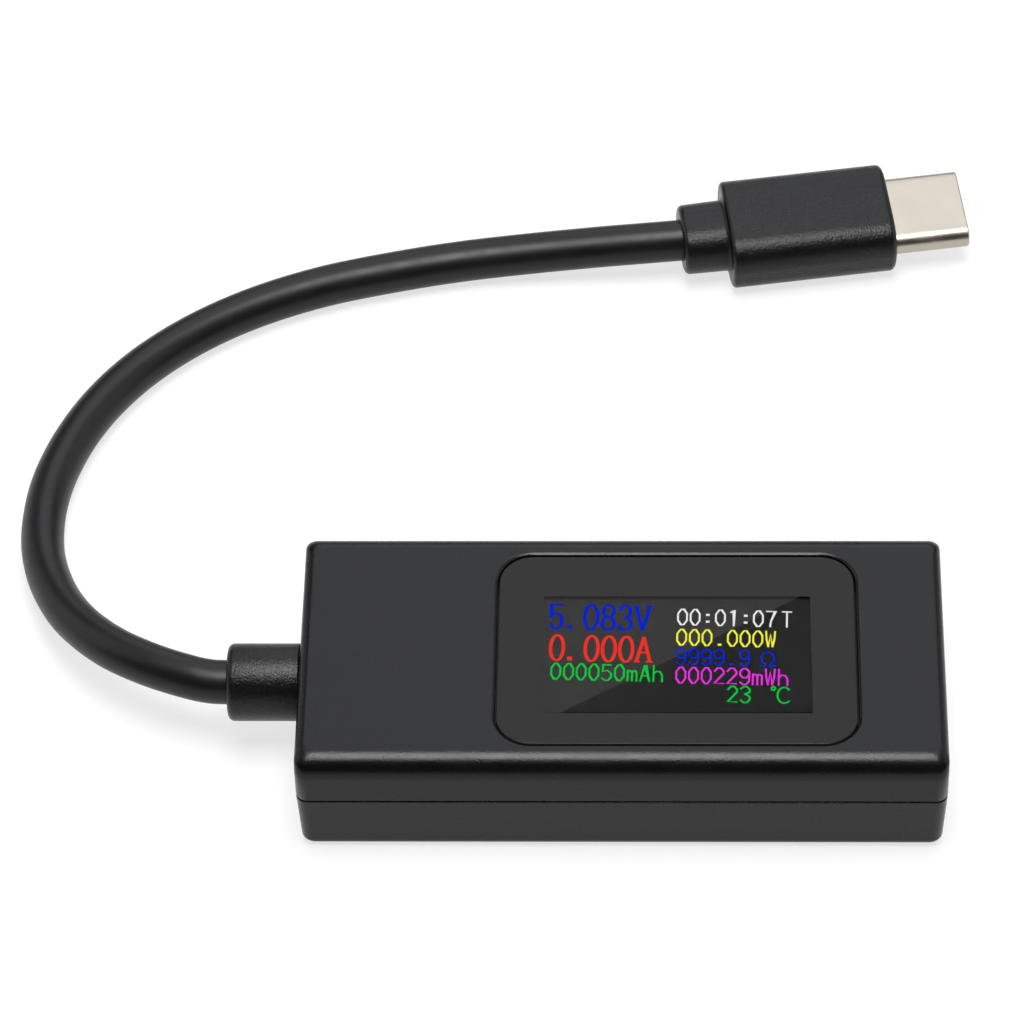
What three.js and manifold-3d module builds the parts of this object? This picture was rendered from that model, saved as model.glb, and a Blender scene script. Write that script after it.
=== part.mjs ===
// Inline USB-C power meter: a two-shell case with a colour display, a button in its far side, a socket
// in its +X end, and a short lead with a USB-C plug leaving its -X end through a strain relief.
// Millimetres, +Z up. The origin is the centre of the case's underside, and +X points to the socket.

import * as THREE from 'three';
import { mergeVertices } from 'three/addons/utils/BufferGeometryUtils.js';
import Module from 'manifold-3d';

const wasm = await Module();
wasm.setup();

// Driving dimensions

const caseLength = 55.9;
const caseWidth = 26.7;
const caseHeight = 11.3;
const wall = 1.6;
const floorThickness = 1.3;
const roofThickness = 1.5;
const longEdgeRadius = 2.0;
const endEdgeRadius = 0.9;
const baseEdgeRadius = 1.0;
const planCornerRadius = 1.0;
const baseTaper = THREE.MathUtils.degToRad(2.5);

const partingHeight = 6.5;
const partingGap = 0.2;
const lipThickness = 0.65;
const lipHeight = 0.9;
const fitClearance = 0.15;
const cavityRadius = 0.6;

const windowLength = 30.9;
const windowWidth = 21.15;
const windowRadius = 3.0;
const windowThickness = 1.0;
const windowRecess = 0.1;
const windowX = 4.75;
const windowY = -0.13;
const windowGroove = 0.2;
const pocketDepth = 1.35;
const windowFrameDepth = 2.0;
const windowFrameWall = 1.0;
const adhesiveThickness = 0.15;

const screenX = 4.15;
const screenY = -0.15;
const screenLength = 26.0;
const screenWidth = 14.0;
const screenRadius = 0.3;
const screenMargin = 0.4;
const adhesiveMargin = 0.9;
const panelThickness = 1.0;
const backlightThickness = 0.85;
const layerGap = 0.05;
const foamLength = 16.0;
const foamWidth = 10.0;
const foamThickness = 1.6;
const flexWidth = 8.0;
const flexThickness = 0.2;
const flexBulge = 1.7;
const flexFoot = 3.0;

const boardThickness = 1.0;
const boardX0 = -23.6;
const boardX1 = 26.0;
const boardWidth = 22.6;
const boardRadius = 0.8;
const postX = 20.5;
const postY = 9.3;
const postRadius = 1.5;
const pinRadius = 0.75;
const pinClearance = 0.25;
const pinProud = 0.8;
const fusedDepth = 0.5;

// Components on the board: centre along X and Y, then length, width, height and leads a side.
const microcontroller = [3.0, 0.5, 6.5, 4.4, 1.0, 10];
const memoryChip = [-2.5, -7.4, 4.9, 3.9, 1.2, 4];
const voltageRegulator = [14.0, 7.4, 4.5, 2.5, 1.5, 3];
const inputSwitchChip = [-15.5, -1.0, 4.9, 3.9, 1.4, 4];
const shuntResistor = [-15.0, -8.2, 6.4, 3.2, 0.8];
const inductorCore = [7.5, -8.0, 4.0, 4.0, 1.6];
const crystalCan = [8.6, 7.6, 3.2, 2.5, 0.8];
const inputCapacitor = [14.0, -7.8, 3.2, 1.6, 1.6];
const outputCapacitor = [14.0, -4.8, 3.2, 1.6, 1.6];
const temperatureSensor = [1.0, 8.2, 1.6, 0.8, 0.5];
const leadWidth = 0.3;
const leadReach = 0.7;
const leadHeight = 0.25;
const inductorCapRadius = 1.7;
const inductorCapRise = 0.3;
const terminalHeight = 0.94;
const terminalGap = 0.64;

const socketLength = 7.3;
const socketRecess = 0.35;
const socketWidth = 8.94;
const socketHeight = 3.2;
const sheetThickness = 0.3;
const socketSlotGap = 0.2;
const legLength = 1.0;
const legStations = [1.6, 5.1];
const legProud = 0.5;
const legClearance = 0.25;
const housingDepth = 2.0;
const tongueSetback = 0.6;
const contactSetback = 1.1;
const tongueWidth = 6.69;
const tongueThickness = 0.7;
const contactPitch = 0.5;
const contactWidth = 0.25;
const contactThickness = 0.08;
const contactCount = 12;
const contactBar = 0.3;
const contactLift = 0.02;

const buttonX = -14.0;
const buttonLength = 6.0;
const buttonHeight = 3.0;
const buttonRadius = 1.2;
const buttonGap = 0.2;
const buttonFlangeY = 10.85;
const buttonFlangeReach = 0.6;
const buttonTravel = 0.3;
const switchLength = 6.0;
const switchY0 = 6.4;
const switchY1 = 10.0;
const switchRise = 1.6;
const switchPocketDepth = 0.9;
const plungerLength = 2.6;
const plungerHeight = 1.5;
const plungerY = 9.6;
const plungerRadius = 0.3;

const reliefRadius = 3.4;
const reliefLength = 6.3;
const reliefNeckRadius = 2.2;
const reliefFlangeRadius = 3.1;
const reliefFlangeLength = 1.5;
const reliefEdge = 0.5;

const cordRadius = 1.95;
const cordSteps = 28;
const cordSides = 8;
const wireRadius = 0.45;
const wirePitch = 1.15;
const padPitch = 2.0;
const padX = -20.3;
const padStagger = 0.35;

const plugX = 5.3;
const plugY = 57.16;
const plugYaw = THREE.MathUtils.degToRad(8.8);
const plugRoll = THREE.MathUtils.degToRad(8.8);
const gripLength = 15.65;
const gripWidth = 10.45;
const gripThickness = 6.2;
const gripRadius = 2.5;
const collarLength = 4.3;
const collarWidth = 7.0;
const collarThickness = 5.5;
const plugShellWidth = 8.25;
const plugShellHeight = 2.4;
const plugShellOut = 7.1;
const plugShellIn = 4.0;
const plugBoardLength = 6.5;
const plugBoardWidth = 7.2;
const plugBoardThickness = 0.7;
const plugMouthHeight = 1.2;
const plugContactHeight = 0.48;

const meetGap = 0.3;

// The lead's centre line, from the strain relief's outer face to the plug's rear face.
const cordRoute = [
  [-34.65, 0.0, 6.5],
  [-36.0, 0.1, 6.5],
  [-37.9, 0.6, 6.5],
  [-41.47, 2.18, 6.3],
  [-45.31, 4.88, 5.65],
  [-48.71, 8.91, 4.5],
  [-51.01, 13.45, 3.4],
  [-52.41, 18.4, 2.55],
  [-52.73, 23.43, 2.1],
  [-52.11, 28.36, 1.97],
  [-50.4, 33.6, 1.95],
  [-47.78, 38.47, 1.95],
  [-44.27, 42.85, 1.95],
  [-39.79, 46.77, 1.95],
  [-34.59, 50.0, 1.95],
  [-28.67, 52.56, 1.95],
  [-22.37, 54.38, 1.95],
  [-15.79, 55.79, 2.02],
  [-9.01, 56.45, 2.45],
  [-2.4, 56.7, 3.08],
  [1.38, 56.83, 3.38],
  [5.0, 57.11, 3.51],
];

// Derived heights and stations

const axisHeight = partingHeight;
const plugHeight =
  gripRadius +
  (gripWidth / 2 - gripRadius) * Math.sin(plugRoll) +
  (gripThickness / 2 - gripRadius) * Math.cos(plugRoll);
const endX = caseLength / 2;
const sideY = caseWidth / 2;
const cavityX = endX - wall;
const cavityY = sideY - wall;
const roofUnderside = caseHeight - roofThickness;
const pocketFloor = caseHeight - pocketDepth;
const windowTop = caseHeight - windowRecess;
const panelTop = pocketFloor;
const backlightTop = panelTop - panelThickness - layerGap;
const backlightBottom = backlightTop - backlightThickness;
const boardTop = axisHeight - socketHeight / 2 - layerGap;
const boardBottom = boardTop - boardThickness;
const partTop = boardTop + layerGap;
const socketX1 = endX - socketRecess;
const socketX0 = socketX1 - socketLength;
const reliefX = -endX - fitClearance - reliefLength;

// Solids

function solid(geometry) {
  geometry.deleteAttribute('normal');
  geometry.deleteAttribute('uv');
  const merged = mergeVertices(geometry, 1e-5);
  const mesh = new wasm.Mesh({
    numProp: 3,
    vertProperties: new Float32Array(merged.attributes.position.array),
    triVerts: new Uint32Array(merged.index.array),
  });
  return new wasm.Manifold(mesh);
}

function geometryOf(body) {
  const mesh = body.getMesh();
  const geometry = new THREE.BufferGeometry();
  geometry.setAttribute('position', new THREE.BufferAttribute(mesh.vertProperties, 3));
  geometry.setIndex(new THREE.BufferAttribute(mesh.triVerts, 1));
  geometry.computeVertexNormals();
  return geometry;
}

function union(bodies) {
  return bodies.reduce((sum, body) => sum.add(body));
}

function cut(body, tools) {
  return tools.reduce((rest, tool) => rest.subtract(tool), body);
}

function extrude(shape, depth, curveSegments) {
  return new THREE.ExtrudeGeometry(shape, { depth, curveSegments, bevelEnabled: false });
}

function alongX(shape, x0, x1, curveSegments = 4) {
  const toX = new THREE.Matrix4().makeBasis(
    new THREE.Vector3(0, 1, 0),
    new THREE.Vector3(0, 0, 1),
    new THREE.Vector3(1, 0, 0),
  );
  return solid(extrude(shape, x1 - x0, curveSegments).applyMatrix4(toX).translate(x0, 0, 0));
}

function alongY(shape, y0, y1, curveSegments = 4) {
  const toY = new THREE.Matrix4().makeBasis(
    new THREE.Vector3(1, 0, 0),
    new THREE.Vector3(0, 0, 1),
    new THREE.Vector3(0, -1, 0),
  );
  return solid(extrude(shape, y1 - y0, curveSegments).applyMatrix4(toY).translate(0, y1, 0));
}

function alongZ(shape, z0, z1, curveSegments = 4) {
  return solid(extrude(shape, z1 - z0, curveSegments).translate(0, 0, z0));
}

function roundedRect(width, height, radius, x = 0, y = 0) {
  const left = x - width / 2 + radius;
  const right = x + width / 2 - radius;
  const low = y - height / 2 + radius;
  const high = y + height / 2 - radius;
  const shape = new THREE.Shape();
  shape.absarc(right, high, radius, 0, Math.PI / 2);
  shape.absarc(left, high, radius, Math.PI / 2, Math.PI);
  shape.absarc(left, low, radius, Math.PI, 1.5 * Math.PI);
  shape.absarc(right, low, radius, 1.5 * Math.PI, 2 * Math.PI);
  shape.closePath();
  return shape;
}

function slot(width, height, x = 0, y = 0) {
  return roundedRect(width, height, height / 2 - 0.001, x, y);
}

function tubeShape(width, height, thickness, x = 0, y = 0) {
  const shape = slot(width, height, x, y);
  shape.holes.push(slot(width - 2 * thickness, height - 2 * thickness, x, y));
  return shape;
}

function box(x0, x1, y0, y1, z0, z1) {
  const geometry = new THREE.BoxGeometry(x1 - x0, y1 - y0, z1 - z0);
  return solid(geometry.translate((x0 + x1) / 2, (y0 + y1) / 2, (z0 + z1) / 2));
}

function disc(radius, x, y, z0, z1, sides = 16) {
  const geometry = new THREE.CylinderGeometry(radius, radius, z1 - z0, sides);
  return solid(geometry.rotateX(Math.PI / 2).translate(x, y, (z0 + z1) / 2));
}

function turnedAlongX(stations, y, z, sides) {
  const profile = stations.map(([x, radius]) => new THREE.Vector2(radius, x));
  const geometry = new THREE.LatheGeometry(profile, sides);
  return solid(geometry.rotateZ(-Math.PI / 2).translate(0, y, z));
}

function sweep(points, radius, steps, sides) {
  const path = new THREE.CatmullRomCurve3(points.map((point) => new THREE.Vector3(...point)));
  const section = new THREE.Shape();
  section.absarc(0, 0, radius, 0, 2 * Math.PI);
  const options = { steps, curveSegments: sides, bevelEnabled: false, extrudePath: path };
  return solid(new THREE.ExtrudeGeometry(section, options));
}

// Case

// Outline of the case across one of its axes, symmetric, with its base drawn in below the parting plane.
function caseProfile(halfSpan, topRadius) {
  const taper = partingHeight * Math.tan(baseTaper);
  const baseHalf = halfSpan - taper;
  const riseX = baseHalf + baseEdgeRadius * Math.tan(baseTaper);
  const shape = new THREE.Shape();
  shape.moveTo(baseHalf - baseEdgeRadius, 0);
  shape.quadraticCurveTo(baseHalf, 0, riseX, baseEdgeRadius);
  shape.lineTo(halfSpan, partingHeight);
  shape.absarc(halfSpan - topRadius, caseHeight - topRadius, topRadius, 0, Math.PI / 2);
  shape.absarc(topRadius - halfSpan, caseHeight - topRadius, topRadius, Math.PI / 2, Math.PI);
  shape.lineTo(-halfSpan, partingHeight);
  shape.lineTo(-riseX, baseEdgeRadius);
  shape.quadraticCurveTo(-baseHalf, 0, baseEdgeRadius - baseHalf, 0);
  shape.closePath();
  return shape;
}

function caseForm() {
  const across = alongX(caseProfile(sideY, longEdgeRadius), -endX, endX, 6);
  const along = alongY(caseProfile(endX, endEdgeRadius), -sideY, sideY, 3);
  const plan = alongZ(roundedRect(caseLength, caseWidth, planCornerRadius), 0, caseHeight, 3);
  return across.intersect(along).intersect(plan);
}

function insetPlan(inset, z0, z1) {
  return alongZ(roundedRect(caseLength - 2 * inset, caseWidth - 2 * inset, cavityRadius), z0, z1, 2);
}

// The openings that both shells share half each: the lead's hole, the socket's slot, the button's slot.
function wallOpenings() {
  const reach = 3;
  const hole = new THREE.Shape();
  hole.absarc(0, axisHeight, reliefNeckRadius + meetGap, 0, 2 * Math.PI);
  const socketSlot = slot(
    socketWidth + 2 * socketSlotGap,
    socketHeight + 2 * socketSlotGap,
    0,
    axisHeight,
  );
  const buttonSlot = roundedRect(
    buttonLength + 2 * buttonGap,
    buttonHeight + 2 * buttonGap,
    buttonRadius + buttonGap,
    buttonX,
    axisHeight,
  );
  return [
    alongX(hole, -endX - 1, -endX + reach, 24),
    alongX(socketSlot, endX - reach, endX + 1, 8),
    alongY(buttonSlot, sideY - reach, sideY + 1),
  ];
}

function posts(radius, z0, z1) {
  const corners = [[-postX, -postY], [-postX, postY], [postX, -postY], [postX, postY]];
  return corners.map(([x, y]) => disc(radius, x, y, z0, z1));
}

function topShell() {
  const rim = partingHeight + partingGap / 2;
  const upper = box(-endX - 1, endX + 1, -sideY - 1, sideY + 1, rim, caseHeight + 1);
  const hollow = insetPlan(wall, 0, roofUnderside);
  const rebate = insetPlan(wall - lipThickness - fitClearance, 0, rim + lipHeight);
  const pocket = roundedRect(
    windowLength + 2 * windowGroove,
    windowWidth + 2 * windowGroove,
    windowRadius + windowGroove,
    windowX,
    windowY,
  );
  const frame = roundedRect(
    windowLength + 2 * windowFrameWall,
    windowWidth + 2 * windowFrameWall,
    windowRadius + windowFrameWall,
    windowX,
    windowY,
  );
  const opening = roundedRect(
    screenLength + 2 * screenMargin,
    screenWidth + 2 * screenMargin,
    screenRadius + screenMargin,
    screenX,
    screenY,
  );
  const shell = cut(caseForm().intersect(upper), [hollow, rebate]);
  const windowFrame = alongZ(frame, caseHeight - windowFrameDepth, roofUnderside + fusedDepth, 5);
  const holdDowns = posts(postRadius, boardTop + layerGap, roofUnderside + fusedDepth);
  const pinHoles = posts(pinRadius + pinClearance, boardTop, boardTop + pinProud + meetGap + fusedDepth);
  return cut(union([shell, windowFrame, ...holdDowns]), [
    ...pinHoles,
    ...wallOpenings(),
    alongZ(pocket, pocketFloor, caseHeight + 1, 5),
    alongZ(opening, caseHeight - windowFrameDepth - 1, caseHeight + 1, 2),
  ]);
}

function bottomShell() {
  const rim = partingHeight - partingGap / 2;
  const lower = box(-endX - 1, endX + 1, -sideY - 1, sideY + 1, -1, rim);
  const tray = caseForm().intersect(lower);
  const lip = insetPlan(wall - lipThickness, rim - 1, rim + lipHeight);
  const hollow = insetPlan(wall, floorThickness, caseHeight);
  const shell = cut(tray.add(lip), [hollow, ...wallOpenings()]);
  const seats = posts(postRadius, floorThickness - fusedDepth, boardBottom - layerGap);
  const pins = posts(pinRadius, floorThickness, boardTop + pinProud);
  return union([shell, ...seats, ...pins]);
}

// Display stack

function displayWindow() {
  const outline = roundedRect(windowLength, windowWidth, windowRadius, windowX, windowY);
  return alongZ(outline, windowTop - windowThickness, windowTop, 5);
}

function windowAdhesive() {
  const inset = 0.4;
  const outline = roundedRect(
    windowLength - inset,
    windowWidth - inset,
    windowRadius - inset / 2,
    windowX,
    windowY,
  );
  outline.holes.push(roundedRect(
    screenLength + 2 * adhesiveMargin,
    screenWidth + 2 * adhesiveMargin,
    adhesiveMargin,
    screenX,
    screenY,
  ));
  const top = windowTop - windowThickness - layerGap / 2;
  return alongZ(outline, top - adhesiveThickness + layerGap, top, 5);
}

function screenLayer(z0, z1) {
  return alongZ(roundedRect(screenLength, screenWidth, screenRadius, screenX, screenY), z0, z1, 2);
}

function foamPad() {
  const top = backlightBottom - 2 * layerGap;
  const halfLength = foamLength / 2;
  const halfWidth = foamWidth / 2;
  return box(
    screenX - halfLength,
    screenX + halfLength,
    screenY - halfWidth,
    screenY + halfWidth,
    top - foamThickness,
    top,
  );
}

// The ribbon folds from the display's -X end round and under it to the board.
function lcdFlex() {
  const halfThickness = flexThickness / 2;
  const start = screenX - screenLength / 2 - fitClearance;
  const startZ = backlightTop + layerGap;
  const boardZ = boardTop + layerGap + halfThickness;
  const side = (offset) => {
    const curve = new THREE.CatmullRomCurve3([
      new THREE.Vector3(start, startZ - offset, 0),
      new THREE.Vector3(start - 0.8, startZ - 0.25 - offset * 0.6, 0),
      new THREE.Vector3(start - flexBulge + offset, (startZ + boardZ) / 2, 0),
      new THREE.Vector3(start - 0.8, boardZ + 0.15 + offset * 0.6, 0),
      new THREE.Vector3(start + 0.2, boardZ + offset, 0),
    ]);
    return curve.getPoints(12).map((point) => new THREE.Vector2(point.x, point.y));
  };
  const foot = start + flexFoot;
  const outer = side(-halfThickness);
  const inner = side(halfThickness).reverse();
  const outline = [
    ...outer,
    new THREE.Vector2(foot, boardZ - halfThickness),
    new THREE.Vector2(foot, boardZ + halfThickness),
    ...inner,
  ];
  return alongY(new THREE.Shape(outline), screenY - flexWidth / 2, screenY + flexWidth / 2);
}

// Board and what is soldered to it

function mainBoard() {
  const centreX = (boardX0 + boardX1) / 2;
  const outline = roundedRect(boardX1 - boardX0, boardWidth, boardRadius, centreX, 0);
  const board = alongZ(outline, boardBottom, boardTop, 3);
  const holes = posts(pinRadius + pinClearance, boardBottom - 1, boardTop + 1);
  const legSlots = socketLegs(legClearance);
  const notchHalf = buttonLength / 2 + 2 * buttonFlangeReach;
  const buttonNotch = box(
    buttonX - notchHalf,
    buttonX + notchHalf,
    buttonFlangeY - buttonTravel - meetGap,
    sideY,
    boardBottom - 1,
    boardTop + 1,
  );
  return cut(board, [...holes, ...legSlots, buttonNotch]);
}

function block([x, y, length, width, height]) {
  return box(x - length / 2, x + length / 2, y - width / 2, y + width / 2, partTop, partTop + height);
}

function leadedChip([x, y, length, width, height, leadsPerSide]) {
  const body = block([x, y, length, width, height]);
  const pitch = length / leadsPerSide;
  const across = width + 2 * leadReach;
  const leads = [];
  for (let i = 0; i < leadsPerSide; i += 1) {
    const leadX = x + (i - (leadsPerSide - 1) / 2) * pitch;
    leads.push(block([leadX, y, leadWidth, across, leadHeight]));
  }
  return union([body, ...leads]);
}

function inductor() {
  const [x, y, , , height] = inductorCore;
  const top = partTop + height;
  const cap = disc(inductorCapRadius, x, y, top - inductorCapRise, top + inductorCapRise);
  return block(inductorCore).add(cap);
}

// A component with a terminal at each end, standing a little lower than its body.
function endedComponent([x, y, length, width, height]) {
  const body = block([x, y, length * terminalGap, width, height]);
  const ends = block([x, y, length, width, height * terminalHeight]);
  return body.add(ends);
}

// USB-C socket

function socketLegs(margin) {
  const legs = [];
  const halfLength = legLength / 2 + margin;
  const halfThickness = sheetThickness / 2 + margin;
  for (const station of legStations) {
    const x = socketX0 + station;
    for (const side of [-1, 1]) {
      const y = side * (socketWidth / 2 + layerGap);
      legs.push(box(
        x - halfLength,
        x + halfLength,
        y - halfThickness,
        y + halfThickness,
        boardBottom - legProud,
        axisHeight,
      ));
    }
  }
  return legs;
}

function receptacleShell() {
  const tube = alongX(
    tubeShape(socketWidth, socketHeight, sheetThickness, 0, axisHeight),
    socketX0,
    socketX1,
    8,
  );
  return union([tube, ...socketLegs(0)]);
}

function receptacleHousing() {
  const width = socketWidth - 2 * sheetThickness - 2 * layerGap;
  const height = socketHeight - 2 * sheetThickness - 2 * layerGap;
  const core = alongX(slot(width, height, 0, axisHeight), socketX0, socketX0 + housingDepth, 8);
  const tongue = alongX(
    roundedRect(tongueWidth, tongueThickness, 0.15, 0, axisHeight),
    socketX0 + housingDepth / 2,
    socketX1 - tongueSetback,
    2,
  );
  return core.add(tongue);
}

// A comb of contacts joined by a crossbar at x0, lying flat on one side of its own middle height.
function contactRow(x0, x1, height, side) {
  const firstY = -((contactCount - 1) / 2) * contactPitch;
  const outline = [new THREE.Vector2(x0, firstY - contactWidth / 2)];
  for (let i = 0; i < contactCount; i += 1) {
    const y = firstY + i * contactPitch;
    outline.push(new THREE.Vector2(x1, y - contactWidth / 2));
    outline.push(new THREE.Vector2(x1, y + contactWidth / 2));
    if (i < contactCount - 1) {
      outline.push(new THREE.Vector2(x0 + contactBar, y + contactWidth / 2));
      outline.push(new THREE.Vector2(x0 + contactBar, y + contactPitch - contactWidth / 2));
    }
  }
  outline.push(new THREE.Vector2(x0, -firstY + contactWidth / 2));
  const low = side > 0 ? height : -height - contactThickness;
  return alongZ(new THREE.Shape(outline), low, low + contactThickness);
}

function receptacleContacts(side) {
  const lift = tongueThickness / 2 + contactLift;
  const rear = socketX0 + housingDepth + 2 * layerGap;
  return contactRow(rear, socketX1 - contactSetback, lift, side).translate([0, 0, axisHeight]);
}

// Button

function switchBody() {
  const half = switchLength / 2;
  const body = box(buttonX - half, buttonX + half, switchY0, switchY1, partTop, axisHeight + switchRise);
  const pocket = roundedRect(
    plungerLength + 2 * buttonGap,
    plungerHeight + 2 * buttonGap,
    plungerRadius,
    buttonX,
    axisHeight,
  );
  return body.subtract(alongY(pocket, switchY1 - switchPocketDepth, switchY1 + 1, 2));
}

function switchPlunger() {
  const outline = roundedRect(plungerLength, plungerHeight, plungerRadius, buttonX, axisHeight);
  return alongY(outline, plungerY, buttonFlangeY - 2 * layerGap, 2);
}

function buttonCap() {
  const flange = roundedRect(
    buttonLength + 2 * buttonFlangeReach,
    buttonHeight + buttonFlangeReach,
    buttonRadius,
    buttonX,
    axisHeight,
  );
  const stem = roundedRect(buttonLength, buttonHeight, buttonRadius, buttonX, axisHeight);
  const flangeEnd = cavityY - buttonGap;
  return alongY(flange, buttonFlangeY, flangeEnd).add(alongY(stem, flangeEnd - layerGap, sideY));
}

// Lead

function strainRelief() {
  const inner = -cavityX + fitClearance;
  return turnedAlongX([
    [reliefX, 0],
    [reliefX, reliefRadius - reliefEdge],
    [reliefX + reliefEdge, reliefRadius],
    [-endX - fitClearance, reliefRadius],
    [-endX - fitClearance, reliefNeckRadius],
    [inner, reliefNeckRadius],
    [inner, reliefFlangeRadius],
    [inner + reliefFlangeLength, reliefFlangeRadius],
    [inner + reliefFlangeLength, 0],
  ], 0, axisHeight, 24);
}

function wire(index) {
  const offset = index - 2;
  const start = -cavityX + fitClearance + reliefFlangeLength + meetGap;
  const endAt = padX - padStagger * Math.abs(offset);
  const endZ = boardTop + wireRadius + layerGap;
  return sweep([
    [start, offset * wirePitch, axisHeight],
    [start + 1.0, offset * wirePitch, axisHeight - 0.1],
    [endAt - 1.4, offset * padPitch, endZ + 0.35],
    [endAt, offset * padPitch, endZ],
  ], wireRadius, 6, 6);
}

function cord() {
  return sweep(cordRoute, cordRadius, cordSteps, cordSides);
}

// Plug, along its own +X from its rear face, about its own axis

const gripFront = collarLength + gripLength;
const shellRear = gripFront - plugShellIn;
const plugTip = gripFront + plugShellOut;

function plugBoardSpace(margin) {
  const front = shellRear - meetGap;
  const halfWidth = plugBoardWidth / 2 + margin;
  const halfThickness = plugBoardThickness / 2 + margin;
  return box(
    front - plugBoardLength - margin,
    front + margin,
    -halfWidth,
    halfWidth,
    -halfThickness,
    halfThickness,
  );
}

function plugOvermold() {
  const collarRadius = collarThickness / 2 - layerGap;
  const collar = alongX(
    roundedRect(collarWidth, collarThickness, collarRadius),
    0,
    collarLength + fusedDepth,
    6,
  );
  const grip = alongX(roundedRect(gripWidth, gripThickness, gripRadius), collarLength, gripFront, 6);
  const pocketShape = slot(plugShellWidth + 4 * layerGap, plugShellHeight + 4 * layerGap);
  const shellPocket = alongX(pocketShape, shellRear - 4 * layerGap, gripFront + 1, 8);
  const boardPocket = plugBoardSpace(meetGap);
  return cut(collar.add(grip), [shellPocket, boardPocket]);
}

function plugShell() {
  return alongX(tubeShape(plugShellWidth, plugShellHeight, sheetThickness), shellRear, plugTip, 8);
}

function plugInsulator() {
  const width = plugShellWidth - 2 * sheetThickness - 2 * layerGap;
  const height = plugShellHeight - 2 * sheetThickness - 2 * layerGap;
  const core = alongX(slot(width, height), shellRear + meetGap, plugTip - sheetThickness, 8);
  const mouth = roundedRect(tongueWidth + 2 * layerGap, plugMouthHeight, 0.1);
  return core.subtract(alongX(mouth, gripFront + meetGap, plugTip + 1, 1));
}

function plugContacts(side) {
  return contactRow(gripFront + fusedDepth, plugTip - contactSetback, plugContactHeight, side);
}

function plugBoard() {
  return plugBoardSpace(0);
}

// Finishes

function finish(color, roughness, metalness = 0) {
  return new THREE.MeshStandardMaterial({ color, roughness, metalness });
}

const blackCase = () => finish(0x1b1b1d, 0.45);
const blackRubber = () => finish(0x17171a, 0.62);
const blackChip = () => finish(0x141416, 0.5);
const gold = () => finish(0xc9a24a, 0.35, 1);
const nickel = () => finish(0xc3bcb2, 0.35, 1);
const ceramic = () => finish(0xa58a63, 0.6);

// Assembly

const group = new THREE.Group();
const plug = new THREE.Group();
plug.position.set(plugX, plugY, plugHeight);
plug.rotation.set(plugRoll, 0, plugYaw, 'ZYX');
group.add(plug);

function add(parent, name, body, material) {
  const mesh = new THREE.Mesh(geometryOf(body), material);
  mesh.name = name;
  parent.add(mesh);
}

add(group, 'top_shell', topShell(), blackCase());
add(group, 'bottom_shell', bottomShell(), blackCase());
add(group, 'display_window', displayWindow(), finish(0x1a1a1c, 0.12));
add(group, 'window_adhesive', windowAdhesive(), finish(0x0c0c0c, 0.8));
add(group, 'lcd_panel', screenLayer(panelTop - panelThickness, panelTop), finish(0x232326, 0.15));
add(group, 'lcd_backlight', screenLayer(backlightBottom, backlightTop), finish(0xe8e8e4, 0.5));
add(group, 'lcd_flex', lcdFlex(), finish(0xb5762a, 0.5));
add(group, 'foam_pad', foamPad(), finish(0x2a2a2a, 0.9));

add(group, 'main_board', mainBoard(), finish(0x12402a, 0.5));
add(group, 'microcontroller', leadedChip(microcontroller), blackChip());
add(group, 'memory_chip', leadedChip(memoryChip), blackChip());
add(group, 'voltage_regulator', leadedChip(voltageRegulator), blackChip());
add(group, 'input_switch_chip', leadedChip(inputSwitchChip), blackChip());
add(group, 'shunt_resistor', endedComponent(shuntResistor), finish(0x2b2b2d, 0.4));
add(group, 'inductor', inductor(), finish(0x3a3a3c, 0.6));
add(group, 'crystal', endedComponent(crystalCan), nickel());
add(group, 'input_capacitor', endedComponent(inputCapacitor), ceramic());
add(group, 'output_capacitor', endedComponent(outputCapacitor), ceramic());
add(group, 'temperature_sensor', endedComponent(temperatureSensor), ceramic());

add(group, 'receptacle_shell', receptacleShell(), nickel());
add(group, 'receptacle_housing', receptacleHousing(), finish(0x101012, 0.6));
add(group, 'receptacle_contacts_upper', receptacleContacts(1), gold());
add(group, 'receptacle_contacts_lower', receptacleContacts(-1), gold());

add(group, 'switch_body', switchBody(), blackChip());
add(group, 'switch_plunger', switchPlunger(), finish(0x2e2e30, 0.5));
add(group, 'button_cap', buttonCap(), blackCase());

add(group, 'strain_relief', strainRelief(), blackRubber());
add(group, 'cord', cord(), blackRubber());
['white', 'green', 'red', 'blue', 'black'].forEach((name, index) => {
  const colors = [0xe6e6e2, 0x2f8a45, 0xb52626, 0x2b55a8, 0x18181a];
  add(group, `wire_${name}`, wire(index), finish(colors[index], 0.5));
});

add(plug, 'plug_overmold', plugOvermold(), blackRubber());
add(plug, 'plug_shell', plugShell(), nickel());
add(plug, 'plug_insulator', plugInsulator(), finish(0x101012, 0.6));
add(plug, 'plug_contacts_upper', plugContacts(1), gold());
add(plug, 'plug_contacts_lower', plugContacts(-1), gold());
add(plug, 'plug_board', plugBoard(), finish(0x12402a, 0.5));

export default group;
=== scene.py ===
"""Looks of an inline USB-C power meter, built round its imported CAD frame.

Lengths are in millimetres until a piece is made, which scales its mesh to metres. +X is the case's
socket end, +Y its button side and +Z up, with the origin at the centre of the case's underside.
"""

import math

import bmesh
import bpy
from mathutils import Matrix, Vector


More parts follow.
